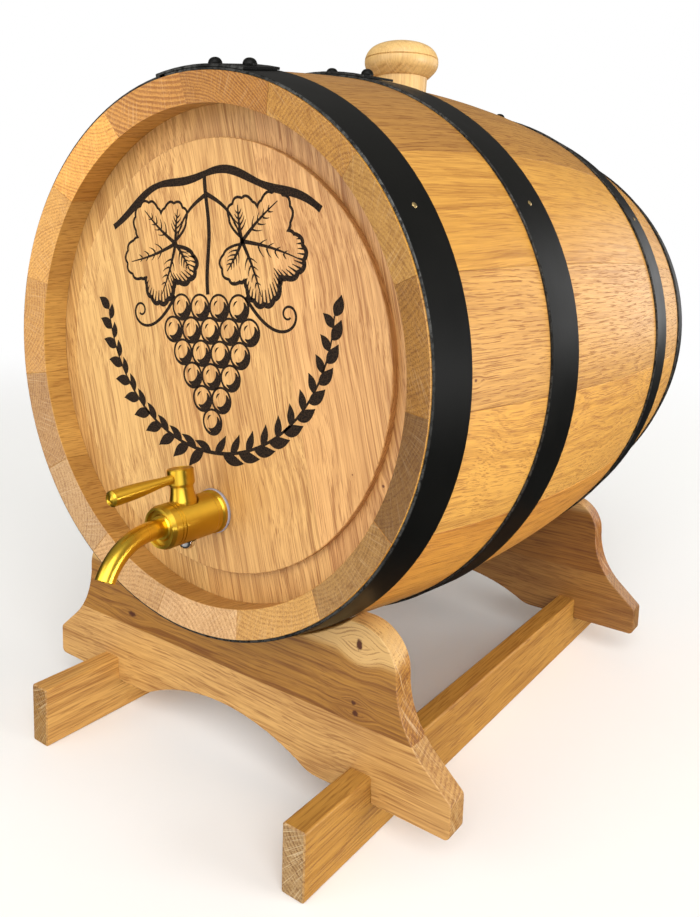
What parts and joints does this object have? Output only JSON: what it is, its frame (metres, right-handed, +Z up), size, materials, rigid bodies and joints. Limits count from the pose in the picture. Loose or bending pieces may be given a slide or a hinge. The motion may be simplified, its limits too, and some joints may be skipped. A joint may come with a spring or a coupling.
{
  "type": "wine barrel",
  "caption": "Small oak barrel with riveted hoops, a lift-out bung and a turning lever tap, lying in a cross-lapped oak stand that it lifts off.",
  "frame": {"origin": "on the floor, under the middle of the whole object's bounding box", "axes": "+Z up, the barrel's axis along Y, the tap end towards -Y"},
  "size_m": [0.338, 0.466, 0.4524],
  "materials": {
    "stave_oak": "oiled oak, satin",
    "head_oak": "planed oak, satin",
    "dowel_wood": "raw wood",
    "hoop_black": "black paint on steel strip, satin",
    "tack_brass": "satin",
    "bung_wood": "turned and oiled, satin",
    "tap_brass": "brushed",
    "domed_nut_steel": "polished",
    "seal": "whitish, slightly see-through sealing washer",
    "stand_oak": "oiled oak, satin"
  },
  "bodies": {
    "stand": {"left_rail": "stand_oak", "right_rail": "stand_oak", "front_cradle_upper": "stand_oak", "front_cradle_lower": "stand_oak", "rear_cradle_upper": "stand_oak", "rear_cradle_lower": "stand_oak"},
    "barrel": {"stave_01": "stave_oak", "stave_02": "stave_oak", "stave_03": "stave_oak", "stave_04": "stave_oak", "stave_05": "stave_oak", "stave_06": "stave_oak", "stave_07": "stave_oak", "stave_08": "stave_oak", "stave_09": "stave_oak", "stave_10": "stave_oak", "stave_11": "stave_oak", "stave_12": "stave_oak", "stave_13": "stave_oak", "stave_14": "stave_oak", "stave_15": "stave_oak", "front_head_board_1": "head_oak", "front_head_board_2": "head_oak", "front_head_board_3": "head_oak", "rear_head_board_1": "head_oak", "rear_head_board_2": "head_oak", "rear_head_board_3": "head_oak", "front_head_dowels": "dowel_wood", "rear_head_dowels": "dowel_wood", "front_head_hoop": "hoop_black", "front_quarter_hoop": "hoop_black", "rear_quarter_hoop": "hoop_black", "rear_head_hoop": "hoop_black", "hoop_rivets": "hoop_black", "hoop_tacks": "tack_brass", "tap_body": "tap_brass", "tap_spout": "tap_brass", "tap_front_seal": "seal", "tap_rear_seal": "seal", "tap_nut": "tap_brass"},
    "bung": {"bung": "bung_wood"},
    "tap_lever": {"tap_plug": "tap_brass", "tap_lever": "tap_brass", "tap_domed_nut": "domed_nut_steel"}
  },
  "joints": [
    {"name": "barrel_lift", "type": "slide", "parent": "stand", "child": "barrel", "axis": [0, 0, 1], "range_m": [0, 0.08]},
    {"name": "bung_pull", "type": "slide", "parent": "barrel", "child": "bung", "axis": [-0.0035, 0, 1], "range_m": [0, 0.05]},
    {"name": "tap_turn", "type": "hinge", "parent": "barrel", "child": "tap_lever", "pos_m": [0.00371, -0.17384, 0.16118], "axis": [-0.1392, 0, 0.9903], "range_deg": [0, 90]}
  ]
}
